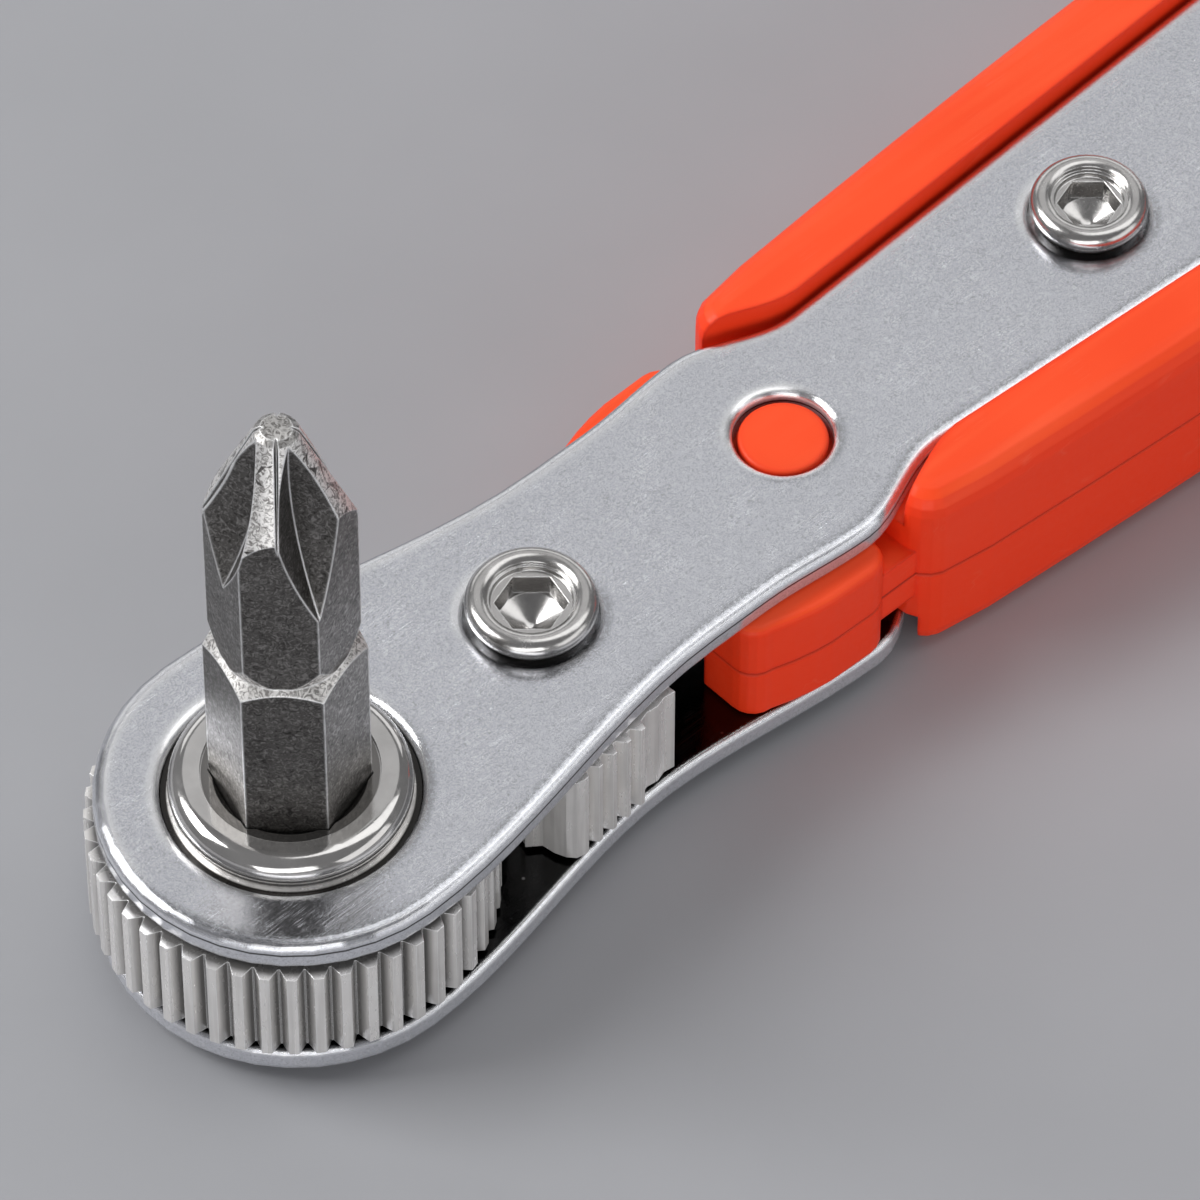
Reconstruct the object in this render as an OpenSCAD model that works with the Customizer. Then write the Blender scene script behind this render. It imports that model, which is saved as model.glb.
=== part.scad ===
// Ratcheting screwdriver: two stamped plates hold a toothed wheel, a rocker pawl and
// a two-part plastic handle, and a hex bit stands in the hub of the wheel.
// Units are millimetres. The origin lies on the drive axis, at the level that the tool
// rests on. +X runs to the tail of the handle and +Z runs up along the bit.

/* [Levels] */
// Thickness of each stamped plate
plate_t = 1.5; // [1.2:0.1:2]
// Clear height between the two plates
gap_h = 6.4; // [5.6:0.1:8]
// Height that the handle stands over and under the plates
rim_h = 0.8; // [0.7:0.05:1.2]
// Thickness of the thrust washers beside the wheel and the pawl
washer_t = 0.3; // [0.2:0.05:0.5]
// Play left along each axis for a turning piece
play = 0.05; // [0.03:0.01:0.1]

/* [Wheel] */
// Number of teeth round the wheel
teeth = 48; // [24:12:60]
// Radius over the tips of the teeth
wheel_r = 9.4; // [9:0.1:10.5]
// Depth of each tooth
tooth_h = 0.6; // [0.56:0.02:0.8]
// Width of a tooth's land, as a share of the pitch
tooth_land_share = 0.36; // [0.3:0.01:0.42]
// Width of a tooth at its root, as a share of the pitch
tooth_root_share = 0.93; // [0.85:0.01:0.96]
// Diameter of the journals that turn in the plates
journal_d = 11.8; // [11.4:0.1:12.2]
// Distance from the journal's side in to the rolled ring's
hub_ring_inset = 0.35; // [0.2:0.05:0.6]
// Height of the rolled ring over the upper plate
hub_ring_h = 1.3; // [1:0.1:2]
// Distance from the hex socket's corners to the edge of its shallow mouth
hub_mouth_w = 0.35; // [0.1:0.05:0.5]
// Turn of the hex socket and the bit about the drive axis
socket_turn = 16.5; // [0:0.5:60]

/* [Bit] */
// Width across the flats of the bit's shank
bit_af = 6.35; // [6:0.05:6.5]
// Whole length of the bit
bit_l = 31.4; // [28:0.2:50]
// Length of the shank up to its shoulder
bit_shank_l = 16.2; // [12:0.2:18]
// Width across the flats above the shoulder
bit_neck_af = 5.88; // [5.6:0.02:6.2]
// Length of the cone at the tip
bit_cone_l = 5.4; // [4:0.1:8]
// Diameter of the flat end of the tip
bit_end_d = 2; // [1.6:0.1:2.6]
// Length of the flutes between the four wings
flute_l = 9.8; // [8:0.1:12]
// Depth to which the bit stands in the socket
socket_l = 7.1; // [6:0.1:7.6]
// Clearance round the shank in its socket
socket_gap = 0.05; // [0.03:0.01:0.1]

/* [Pawl] */
// Distance from the tips of the wheel's teeth to the pawl's pivot
pivot_gap = 5.1; // [4.9:0.05:5.6]
// Angle from the middle position to either locked position
rock = 5; // [4.5:0.1:5.5]
// Distance from the pivot to the front of the claws
claw_l = 7.4; // [7.2:0.1:7.8]
// Half width over the claws
claw_w = 4.6; // [4.5:0.05:5]
// Depth to which the claws reach between the teeth
claw_reach = 0.5; // [0.4:0.02:0.55]
// Gap kept between the claws and the teeth
mesh_gap = 0.06; // [0.04:0.01:0.1]
// Half width over the two thumb pads
pad_w = 7.25; // [7:0.05:7.4]
// Length of each thumb pad
pad_l = 6.5; // [6.2:0.1:6.8]
// Distance from the pivot to the front of the thumb pads
pad_front = 4.3; // [4:0.1:4.4]
// Number of ridges on each thumb pad
pad_ridges = 4; // [3:1:4]
// Spacing of the ridges on the thumb pads
pad_pitch = 0.94; // [0.86:0.02:0.98]
// Depth of the grooves between the ridges
pad_groove_h = 0.46; // [0.3:0.02:0.5]
// Distance from the pivot to the centre of the tail's round tip
pawl_tail_l = 7.4; // [7:0.1:7.8]
// Radius of the tail's round tip
pawl_tip_r = 0.6; // [0.5:0.05:0.7]
// Thickness of the detent spring's strip
spring_t = 0.35; // [0.25:0.05:0.4]
// Height of the bump that the pawl's tail rides over
spring_bump = 1.2; // [1:0.05:1.3]

/* [Plates] */
// Distance from the wheel's tips back to the upper plate's nose
nose_inset = 0.25; // [0.1:0.05:0.6]
// Distance from the wheel's tips back to the lower plate's nose
low_nose_inset = 0.1; // [0:0.05:0.3]
// Half width of the plates at the waist
waist_w = 6.36; // [6:0.05:6.5]
// Half width of the upper plate at its shoulder
shoulder_w = 6.78; // [6.6:0.02:7]
// Extra half width of the lower plate at its shoulder
low_shoulder_extra = 1.1; // [0.8:0.05:1.3]
// Half width where the strip enters the handle
strip_w = 5.12; // [4.8:0.02:5.4]
// Widening of the strip per unit of length
strip_flare = 0.051; // [0.03:0.002:0.06]
// Radius of the plates' outer edges on the outside
edge_r = 0.55; // [0.3:0.05:0.6]
// Radius of the plates' outer edges on the inside
inner_edge_r = 0.25; // [0.2:0.05:0.4]

/* [Handle] */
// Distance from the pivot to the front of the nose block
block_from_pivot = 7.1; // [6.9:0.05:7.4]
// Half width of the nose block
block_w = 7.9; // [7.7:0.05:8.1]
// Distance from the pivot to the front of the grip
grip_from_pivot = 16.8; // [16.2:0.1:17.2]
// Length of the grip
grip_l = 65; // [60:1:110]
// Half width of the grip at its front
grip_front_w = 8.4; // [7.9:0.05:8.6]
// Half width of the grip at its widest
grip_w = 10.6; // [10:0.1:12]
// Length of the rounded tail
tail_l = 14; // [10:0.5:18]
// Radius along the grip's outer edges
grip_edge_r = 1.3; // [0.8:0.05:1.6]
// Gap round the plates in the handle's recess
recess_gap = 0.25; // [0.15:0.05:0.4]
// Width of the notch between the nose block and the grip
notch_l = 1.5; // [1.2:0.1:2]
// Thickness of the web in that notch
web_t = 3.3; // [2:0.1:4]
// Distance from the pivot to the locating boss
boss_from_pivot = 15.6; // [15:0.1:15.8]
// Diameter of the locating boss
boss_d = 4.25; // [3.8:0.05:4.4]

/* [Fasteners] */
// Diameter of the head of the pivot post
pivot_head_d = 6.15; // [5.8:0.05:6.4]
// Diameter of the barrel of the pivot post
pivot_barrel_d = 4.8; // [4.6:0.05:5]
// Width across the flats of the pivot post's socket
pivot_hex_af = 2.95; // [2.8:0.05:3.1]
// Diameter of the heads of the rear and tail posts
rear_head_d = 5.6; // [5.4:0.05:6]
// Diameter of the barrels of the rear and tail posts
rear_barrel_d = 4.4; // [4.3:0.05:4.6]
// Width across the flats of the rear and tail posts' sockets
rear_hex_af = 2.6; // [2.5:0.05:2.8]
// Height of the posts' heads over the upper plate
head_h = 1.4; // [1:0.05:1.6]
// Distance from the pivot to the rear post
rear_from_pivot = 35.1; // [32:0.1:36]
// Distance from the tail post to the handle's end
tail_post_inset = 12.5; // [12:0.1:16]
// Diameter of the screws' threaded shanks
screw_d = 2.9; // [2.5:0.05:3]

/* [Hidden] */

$fn = 96;
cut = 1;                // overrun of every cut past the face it opens
fit = 0.05;             // running clearance on a radius
edge_steps = 4;         // facets in the rounding of an edge
corner_share = 1 / cos(30);     // a hexagon's corners over its flats

// Levels
low_plate_z = rim_h;
gap_z = low_plate_z + plate_t;
top_plate_z = gap_z + gap_h;
top_z = top_plate_z + plate_t;
mid_z = gap_z + gap_h / 2;
handle_top_z = top_z + rim_h;
moving_z = gap_z + washer_t + play;
moving_h = gap_h - 2 * (washer_t + play);
hub_top_z = top_z + hub_ring_h;
bit_z = hub_top_z - socket_l;

// Places along the tool
pivot_x = wheel_r + pivot_gap;
block_x = pivot_x + block_from_pivot;
grip_x = pivot_x + grip_from_pivot;
block_end_x = grip_x - notch_l;
boss_x = pivot_x + boss_from_pivot;
rear_x = pivot_x + rear_from_pivot;
end_x = grip_x + grip_l;
tail_x = end_x - tail_post_inset;

// Outline of the plates
nose_shift = 0.25;              // the nose arc's centre, past the drive axis
waist_x = block_x - 1.6;        // the flanks reach the waist here
waist_end_x = block_x + 1.6;    // and leave it here
drop_l = 5.8;                   // length of the step from the shoulder to the strip
shoulder_x = boss_x - 0.9;
low_waist_x = pivot_x + 2.5;    // the lower plate's flanks reach their waist here
low_waist_extra = 0.55;         // and it is wider than the upper one's by this much
low_shoulder_x = shoulder_x;
plate_tail_l = 9;               // length of the plates' rounded tail
plate_end_gap = 5;              // from the plates' end to the handle's end
plate_tail_x = end_x - plate_end_gap - plate_tail_l;

// The hub
journal_hole_d = journal_d + 2 * fit;
hole_bevel = 0.2;               // bevel of the holes on a plate's outer face
hub_foot = 0.15;                // bevel under the hub
hub_step = 0.35;                // the journal ends this far under the plate's face
hub_neck = 0.08;                // the rolled ring stands this far over its neck
hub_roll_w = 1.8;               // width of the rolled ring
hub_ring_d = journal_d - 2 * hub_ring_inset;
hub_neck_z = top_z - 2 * hub_step;
hub_mouth_l = 0.2;              // depth of the mouth in the hub's flat face
socket_lead = 0.3;              // lead-in of the hex socket under the mouth
thrust_w = 2.2;                 // width of the thrust washers
magnet_d = 5;
magnet_h = 1.6;
wire_d = 0.7;                   // wire of the retaining ring
wire_drop = 3;                  // from the hub's top down to the retaining ring
wire_bite = 0.16;               // how far the ring reaches in over the bit's corners
wire_opening = 40;              // open angle of the retaining ring
socket_af = bit_af + 2 * socket_gap;
hub_mouth_d = socket_af * corner_share + 2 * hub_mouth_w;
wire_ring_r = bit_af * corner_share / 2 - wire_bite + wire_d / 2;
wire_z = hub_top_z - wire_drop;

// The bit
bit_foot = 0.5;                 // bevel at the shank's end
bit_waist_h = 0.65;             // from the shank's corners up to the waist
bit_waist_l = 1.2;              // from the waist up to the neck's corners
bit_waist_cut = 0.02;           // the waist lies this far outside the neck's flats
bit_nib_h = 0.3;                // raised centre of the tip
bit_nib_share = 0.72;           // its width as a share of the flat end
bit_end_z = bit_z + bit_l;
bit_shank_z = bit_z + bit_shank_l;
bit_waist_z = bit_shank_z + bit_waist_h;
bit_neck_z = bit_waist_z + bit_waist_l;
bit_waist_r = bit_neck_af / 2 + bit_waist_cut;
wing_turn = 17;                 // from the hexagon's corner to the first wing
flute_angle = 98;
flute_low = 1.7;                // the flutes are nearest to the axis this far under the tip
flute_root_r = bit_end_d / 2 - 0.08;
flute_rise = bit_neck_af * corner_share / 2 - flute_root_r;
flute_disc_r = (pow(flute_l - flute_low, 2) + pow(flute_rise, 2)) / (2 * flute_rise);
flute_disc_w = 3;               // half thickness of the disc that cuts a flute
groove_turn = 14;               // from a wing's middle to its slim groove
groove_angle = 34;
groove_start = bit_end_d / 2 - 0.35;
groove_l = 5;
groove_tilt = atan((bit_neck_af / 2 - groove_start) / groove_l);

// The pawl and its spring
pawl_bevel = 0.6;               // bevels at the front of the claws and the pads
pad_round = 1.75;               // the pad's rounded front: its width
pad_lead = 0.9;                 // and its length
pad_step = 0.4;                 // from the ridges' tips in to the plain part behind them
pad_depth = 1.9;                // thickness of a pad behind its face
facet_h = 0.12;                 // depth of the facets on the plain part
pawl_neck_w = 3.2;              // half width of the tail where it leaves the pads
claw_relief_w = 3.4;            // half width of the relief between the claws
claw_relief = 0.55;             // its depth
swing_shares = [0.3, 0.65, 1];  // places in the swing where the claws clear the teeth
pawl_washer_w = 1.1;            // width of the pawl's washers past the barrel
recess_w = 4;                   // half width of the recess in the nose block
recess_l = 3.4;                 // depth of that recess
slot_h = 0.35;                  // depth of the slots that hold the spring's ends
spring_gap = 0.3;               // between the spring and the recess's end
bump_w = 1.6;                   // half width of the spring's bump
spring_bow = 0.3;               // bow of the strip between its ends and the bump
spring_x = block_x + recess_l - spring_gap - spring_t / 2;

// The posts and their screws
head_sink = 0.4;                // depth of a head's seat in the upper plate
head_gap = 0.08;                // round a head in its seat
head_roll_w = 1.2;              // width of a head's rolled ring
head_neck = 0.3;                // the ring stands this far over its neck
mouth_l = 0.35;                 // depth of the mouth over the hex socket
mouth_w = 0.33;                 // from the socket's corners to the mouth's edge
hex_l = 1.75;                   // depth of a post's hex socket
post_turn = 18;                 // turn of the hex sockets
drill_share = 0.25;             // depth of the drill point over the socket's width
foot_h = 0.7;                   // height of the screws' heads under the lower plate
foot_bevel = 0.3;
screw_hex_af = 2;
screw_hex_l = 1.2;
screw_l = 5.5;                  // length of a screw's shank

// The shells of the handle
parting = 0.12;                 // bevel along the parting line
grip_corner_r = 1.8;            // radius of the grip's front corners, wider than its edges
grip_bow = 0.3;                 // bulge of the grip's front face
grip_lead = 4;                  // from the grip's front to its first station
block_corner_r = 1.3;           // radius of the nose block's corners, wider than its edges
block_taper = 0.75;             // its sides swing out by this much behind its front corners
block_taper_l = 4.2;            // over this length
block_edge_r = 0.4;             // radius along the nose block's outer edges
block_bow = 0.15;               // bulge of the nose block's front and back
step_gap = 0.9;                 // the recess widens behind the plates' step by this length
web_inset = 0.4;                // from the nose block's sides to the web's
core_w = 4.5;                   // half width of the core under the boss
boss_drop = 0.3;                // from the plate's face down to the boss's
boss_edge_r = 0.2;
peg_d = 3;
peg_l = 2;
peg_before = 8;                 // from the pegs in front of the rear post to that post
peg_behind = 14;                // and from it to the pegs behind it
peg_xs = [rear_x - peg_before, rear_x + peg_behind];

steel = [0.72, 0.73, 0.74];
dark_steel = [0.55, 0.55, 0.54];
nickel = [0.78, 0.77, 0.75];
gunmetal = [0.33, 0.31, 0.29];
plastic = [0.95, 0.3, 0.16];

function smooth(t) = let (u = max(0, min(1, t))) u * u * (3 - 2 * u);
function blend(a, b, t) = a + (b - a) * smooth(t);
function steps(a, b, n) = [for (k = [0 : n - 1]) a + (b - a) * k / n];

// Half width of a plate behind its nose: its waist runs from waist to rise, and it is
// widest at the shoulder
function plate_half(x, nose_r, narrow, wide, waist, rise, shoulder) =
    x < rise ? blend(nose_r, narrow, (x - nose_shift) / (waist - nose_shift))
    : x < shoulder ? blend(narrow, wide, (x - rise) / (shoulder - rise))
    : blend(wide, strip_w, (x - shoulder) / drop_l) + max(0, x - shoulder - drop_l) * strip_flare;

// One side of a plate, from the nose to the end of the tail
function plate_side(nose_r, narrow, wide, waist, rise, shoulder) =
    let (strip_x = shoulder + drop_l,
        tail_w = plate_half(plate_tail_x, nose_r, narrow, wide, waist, rise, shoulder))
    concat([for (a = [0 : 9 : 81]) [nose_shift - nose_r * cos(a), nose_r * sin(a)]],
        [for (x = concat(steps(nose_shift, waist, 11), rise > waist ? [waist] : [],
            steps(rise, shoulder, 8), steps(shoulder, strip_x, 8), steps(strip_x, plate_tail_x, 4)))
            [x, plate_half(x, nose_r, narrow, wide, waist, rise, shoulder)]],
        [for (a = [0 : 10 : 90]) [plate_tail_x + plate_tail_l * sin(a), tail_w * cos(a)]]);

// Sides of the two plates; shift moves the shoulder back
function upper_side(shift) = plate_side(wheel_r - nose_inset, waist_w, shoulder_w, waist_x,
    waist_end_x, shoulder_x + shift);
function lower_side(shift) = plate_side(wheel_r - low_nose_inset, waist_w + low_waist_extra,
    shoulder_w + low_shoulder_extra, low_waist_x, low_waist_x, low_shoulder_x + shift);

// A whole outline, counter-clockwise, from its side with positive Y
function both_sides(side) = concat([for (p = side) [p.x, -p.y]],
    [for (i = [len(side) - 2 : -1 : 1]) side[i]]);

// An outline moved outwards by d
function grown(pts, d) = let (n = len(pts)) [for (i = [0 : n - 1])
    let (t = pts[(i + 1) % n] - pts[(i + n - 1) % n]) pts[i] + d * [t.y, -t.x] / norm(t)];

// Levels and outsets of an edge rounded at the top, and of one rounded at the bottom
function round_top(z, r) = [for (k = [0 : edge_steps]) let (a = 90 * k / edge_steps)
    [z - r * (1 - sin(a)), r * (cos(a) - 1)]];
function round_foot(z, r) = [for (k = [0 : edge_steps]) let (a = 90 * k / edge_steps)
    [z + r * (1 - cos(a)), r * (sin(a) - 1)]];

// Triangles over a symmetric outline of n points, rung by rung
function rungs(n) = [for (i = [0 : n / 2 - 1]) each concat(i > 0 ? [[i, i + 1, n - i]] : [],
    i < n / 2 - 1 ? [[i + 1, n - i - 1, (n - i) % n]] : [])];

// A solid through a stack of outlines; each layer is a level and an outset
module loft(outline, layers) {
    n = len(outline);
    last = (len(layers) - 1) * n;
    points = [for (l = layers) for (p = grown(outline, l[1])) [p.x, p.y, l[0]]];
    sides = [for (k = [0 : n : last - n]) for (i = [0 : n - 1]) let (j = (i + 1) % n)
        each [[k + i, k + n + i, k + n + j], [k + i, k + n + j, k + j]]];
    roof = [for (t = rungs(n)) [last + t[2], last + t[1], last + t[0]]];
    polyhedron(points, concat(sides, rungs(n), roof), convexity = 8);
}

module ring(outer_d, inner_d, h) {
    difference() {
        cylinder(d = outer_d, h = h);
        translate([0, 0, -cut]) cylinder(d = inner_d, h = h + 2 * cut);
    }
}

module hex_prism(af, h) {
    cylinder(d = af * corner_share, h = h, $fn = 6);
}

// Through holes of both plates, seen from the outer face at z = 0
module plate_holes() {
    bevelled_hole(journal_hole_d);
    translate([boss_x, 0, 0]) bevelled_hole(boss_d + 2 * recess_gap);
    translate([pivot_x, 0, 0]) through_hole(pivot_barrel_d + 2 * fit);
    for (x = [rear_x, tail_x]) translate([x, 0, 0]) through_hole(rear_barrel_d + 2 * fit);
}

module through_hole(d) {
    translate([0, 0, -plate_t - cut]) cylinder(d = d, h = plate_t + 2 * cut);
}

module bevelled_hole(d) {
    through_hole(d);
    translate([0, 0, -hole_bevel]) cylinder(d1 = d, d2 = d + 4 * hole_bevel, h = 2 * hole_bevel);
}

module head_seat(head_d) {
    translate([0, 0, -head_sink]) cylinder(d = head_d + 2 * head_gap, h = head_sink + cut);
}

module upper_plate() {
    outline = both_sides(upper_side(0));
    color(steel) difference() {
        loft(outline, concat(round_foot(top_plate_z, inner_edge_r), round_top(top_z, edge_r)));
        translate([0, 0, top_z]) {
            plate_holes();
            translate([pivot_x, 0, 0]) head_seat(pivot_head_d);
            for (x = [rear_x, tail_x]) translate([x, 0, 0]) head_seat(rear_head_d);
        }
    }
}

module lower_plate() {
    outline = both_sides(lower_side(0));
    color(steel) difference() {
        loft(outline, concat(round_foot(low_plate_z, edge_r), round_top(gap_z, inner_edge_r)));
        translate([0, 0, low_plate_z]) mirror([0, 0, 1]) plate_holes();
    }
}

// Outline of the toothed wheel, grown by g on every side
module wheel_outline(g) {
    pitch = 360 / teeth;
    turn = g / wheel_r * 180 / PI;
    tip_a = pitch * tooth_land_share / 2 + turn;
    root_a = min(pitch * tooth_root_share / 2 + turn, pitch / 2);
    polygon([for (k = [0 : teeth - 1]) for (c = [[wheel_r - tooth_h + g, -root_a],
        [wheel_r + g, -tip_a], [wheel_r + g, tip_a], [wheel_r - tooth_h + g, root_a]])
            let (a = (k + 0.5) * pitch + c[1]) c[0] * [cos(a), sin(a)]]);
}

// Section of a rolled ring of the width w: a full round on a neck that starts at z0
module rolled_ring(outer_r, w, neck, z0, z1) {
    translate([outer_r - w / 2, z1 - w / 2]) circle(d = w, $fn = 48);
    translate([0, z0]) square([outer_r - neck, z1 - w / 2 - z0]);
}

module ratchet_wheel() {
    color(nickel) difference() {
        union() {
            translate([0, 0, moving_z]) linear_extrude(moving_h) wheel_outline(0);
            rotate_extrude() polygon([[0, 0], [journal_d / 2 - hub_foot, 0],
                [journal_d / 2, hub_foot], [journal_d / 2, top_z - hub_step], [0, top_z - hub_step]]);
            rotate_extrude() {
                rolled_ring(hub_ring_d / 2, hub_roll_w, hub_neck, hub_neck_z, hub_top_z);
                translate([0, hub_neck_z])
                    square([hub_ring_d / 2 - hub_roll_w / 2, hub_top_z - hub_neck_z]);
            }
        }
        rotate([0, 0, socket_turn]) translate([0, 0, bit_z]) hex_prism(socket_af, socket_l + cut);
        translate([0, 0, hub_top_z - hub_mouth_l]) cylinder(d = hub_mouth_d, h = hub_mouth_l + cut);
        translate([0, 0, hub_top_z - hub_mouth_l - socket_lead]) cylinder(d1 = socket_af,
            d2 = socket_af + 2 * (hub_mouth_l + socket_lead), h = hub_mouth_l + socket_lead);
        translate([0, 0, bit_z - magnet_h]) cylinder(d = magnet_d + 2 * fit, h = magnet_h + cut);
        translate([0, 0, wire_z - wire_d / 2 - fit])
            cylinder(r = wire_ring_r + wire_d / 2 + fit, h = wire_d + 2 * fit);
    }
}

module thrust_washer() {
    ring(journal_hole_d + 2 * (fit + thrust_w), journal_hole_d + 2 * fit, washer_t);
}

module upper_thrust_washer() {
    color(dark_steel) translate([0, 0, top_plate_z - washer_t]) thrust_washer();
}

module lower_thrust_washer() {
    color(dark_steel) translate([0, 0, gap_z]) thrust_washer();
}

// An open ring of spring wire that grips the notched corners of the shank
module bit_retaining_ring() {
    color(dark_steel) translate([0, 0, wire_z]) rotate([0, 0, wire_opening / 2])
        rotate_extrude(angle = 360 - wire_opening)
            translate([wire_ring_r, 0]) circle(d = wire_d, $fn = 24);
}

module socket_magnet() {
    color(dark_steel) translate([0, 0, bit_z - magnet_h])
        cylinder(d = magnet_d, h = magnet_h - play);
}

// Hex bit with a cross point: four flutes leave four wings, each with a slim groove
module screwdriver_bit() {
    corner = bit_af * corner_share / 2;
    neck_corner = bit_neck_af * corner_share / 2;
    color(gunmetal) rotate([0, 0, socket_turn]) difference() {
        union() {
            intersection() {
                translate([0, 0, bit_z]) hex_prism(bit_af, bit_waist_z - bit_z);
                rotate_extrude() polygon([[0, bit_z], [corner - bit_foot, bit_z],
                    [corner, bit_z + bit_foot], [corner, bit_shank_z],
                    [bit_waist_r, bit_waist_z], [0, bit_waist_z]]);
            }
            intersection() {
                translate([0, 0, bit_shank_z]) hex_prism(bit_neck_af, bit_end_z + cut - bit_shank_z);
                rotate_extrude() polygon([[0, bit_shank_z], [bit_waist_r, bit_shank_z],
                    [bit_waist_r, bit_waist_z], [neck_corner, bit_neck_z],
                    [neck_corner, bit_end_z - bit_cone_l], [bit_end_d / 2, bit_end_z],
                    [bit_end_d / 2 * bit_nib_share, bit_end_z + bit_nib_h * bit_nib_share],
                    [0, bit_end_z + bit_nib_h]]);
            }
        }
        for (k = [0 : 3]) rotate([0, 0, wing_turn + 90 * k]) {
            rotate([0, 0, 45]) translate([flute_root_r + flute_disc_r, 0, bit_end_z - flute_low])
                rotate([90, 0, 0]) flute_disc();
            rotate([0, 0, groove_turn]) translate([groove_start, 0, bit_end_z])
                rotate([0, 180 - groove_tilt, 0]) groove();
        }
        translate([0, 0, wire_z]) rotate_extrude()
            translate([wire_ring_r, 0]) circle(d = wire_d + 2 * fit, $fn = 24);
    }
}

// A disc about Z whose V-shaped rim cuts a flute that runs out in an arc
module flute_disc() {
    rim = flute_disc_w / tan(flute_angle / 2);
    rotate_extrude() polygon([[0, -flute_disc_w], [flute_disc_r - rim, -flute_disc_w],
        [flute_disc_r, 0], [flute_disc_r - rim, flute_disc_w], [0, flute_disc_w]]);
}

// A slim V-shaped cutter whose edge runs along Z and which opens towards negative X
module groove() {
    translate([0, 0, -bit_cone_l]) linear_extrude(groove_l + 2 * bit_cone_l)
        polygon([[0, 0], [-bit_af, bit_af * tan(groove_angle / 2)],
            [-bit_af, -bit_af * tan(groove_angle / 2)]]);
}

// One side of the pawl in its middle position, about the pivot
ridge_end = pad_ridges * pad_pitch - pad_front;
pad_end = pad_l - pad_front;
plain_w = pad_w - pad_step;
pawl_side = concat([[-claw_l, 0], [-claw_l, claw_w - pawl_bevel], [-claw_l + 2 * pawl_bevel, claw_w]],
    [for (a = [0 : 22.5 : 67.5]) [-pad_front - pad_lead * cos(a), pad_w - pad_round * (1 - sin(a))]],
    [for (k = [0 : pad_ridges - 1]) for (c = [[0.08, 0], [0.34, 0], [0.5, 1], [0.78, 1]])
        [(k + c[0]) * pad_pitch - pad_front, pad_w - c[1] * pad_groove_h]],
    [[ridge_end + 0.08 * pad_pitch, pad_w], [ridge_end + 0.34 * pad_pitch, pad_w],
    [ridge_end + 0.5 * pad_pitch, plain_w]],
    [for (k = [1 : 4]) [ridge_end + 0.5 * pad_pitch + (pad_end - ridge_end - 0.5 * pad_pitch) * k / 4,
        plain_w - (k % 2) * facet_h]],
    [[pad_end, pad_w - pad_depth], [pad_end + pawl_bevel, pawl_neck_w], [pawl_tail_l, pawl_tip_r]]);

module pawl_outline() {
    difference() {
        union() {
            polygon(both_sides(concat(pawl_side, [[pawl_tail_l, 0]])));
            translate([pawl_tail_l, 0]) circle(r = pawl_tip_r, $fn = 32);
        }
        circle(d = pivot_barrel_d + 2 * fit);
        translate([-pivot_x, 0]) circle(r = wheel_r + mesh_gap);
        translate([-pivot_x, 0]) intersection() {
            circle(r = wheel_r + claw_relief);
            translate([0, -claw_relief_w]) square([pivot_x, 2 * claw_relief_w]);
        }
        for (s = [-1, 1]) {
            rotate(-s * rock) translate([-pivot_x, 0]) circle(r = wheel_r - claw_reach);
            for (share = swing_shares) rotate(-s * rock * share) translate([-pivot_x, 0])
                wheel_outline(mesh_gap);
        }
    }
}

module direction_pawl() {
    color(nickel) translate([pivot_x, 0, moving_z]) rotate([0, 0, rock])
        linear_extrude(moving_h) pawl_outline();
}

module pawl_washer() {
    translate([pivot_x, 0, 0])
        ring(pivot_barrel_d + 2 * (fit + pawl_washer_w), pivot_barrel_d + 2 * fit, washer_t);
}

module upper_pawl_washer() {
    color(dark_steel) translate([0, 0, top_plate_z - washer_t]) pawl_washer();
}

module lower_pawl_washer() {
    color(dark_steel) translate([0, 0, gap_z]) pawl_washer();
}

// Centre line of the detent spring: a bowed strip with a bump that faces the pawl
function spring_line(y) = let (u = abs(y)) spring_x
    - (u < bump_w ? spring_bump * (1 + cos(180 * u / bump_w)) / 2
        : spring_bow * (1 - cos(360 * (u - bump_w) / (recess_w - bump_w))) / 2);

module detent_spring() {
    end_y = recess_w + slot_h - fit;
    ys = steps(-end_y, end_y, 40);
    line = [for (y = concat(ys, [end_y])) [spring_line(y), y]];
    n = len(line);
    normals = [for (i = [0 : n - 1]) let (t = line[min(i + 1, n - 1)] - line[max(i - 1, 0)])
        [t.y, -t.x] / norm(t)];
    color(dark_steel) translate([0, 0, gap_z + play]) linear_extrude(gap_h - 2 * play)
        polygon(concat([for (i = [0 : n - 1]) line[i] + normals[i] * spring_t / 2],
            [for (i = [n - 1 : -1 : 0]) line[i] - normals[i] * spring_t / 2]));
}

// A post: a rolled head with a hex socket and a drill point, on a barrel that is
// threaded from below
module post(head_d, barrel_d, hex_af) {
    head_top_z = top_z + head_h;
    mouth_d = hex_af * corner_share + 2 * mouth_w;
    difference() {
        union() {
            translate([0, 0, low_plate_z + play])
                cylinder(d = barrel_d, h = top_z - head_sink - low_plate_z);
            rotate_extrude() rolled_ring(head_d / 2, head_roll_w, head_neck,
                top_z - head_sink, head_top_z);
        }
        translate([0, 0, head_top_z - mouth_l]) cylinder(d = mouth_d, h = mouth_l + cut);
        translate([0, 0, head_top_z - hex_l]) rotate([0, 0, post_turn]) hex_prism(hex_af, hex_l + cut);
        translate([0, 0, head_top_z - hex_l - hex_af * drill_share])
            cylinder(d1 = 0, d2 = hex_af, h = hex_af * drill_share);
        cylinder(d = screw_d + 2 * fit, h = low_plate_z + screw_l + fit);
    }
}

module pivot_post() {
    color(nickel) translate([pivot_x, 0, 0]) post(pivot_head_d, pivot_barrel_d, pivot_hex_af);
}

module rear_post() {
    color(nickel) translate([rear_x, 0, 0]) post(rear_head_d, rear_barrel_d, rear_hex_af);
}

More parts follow.
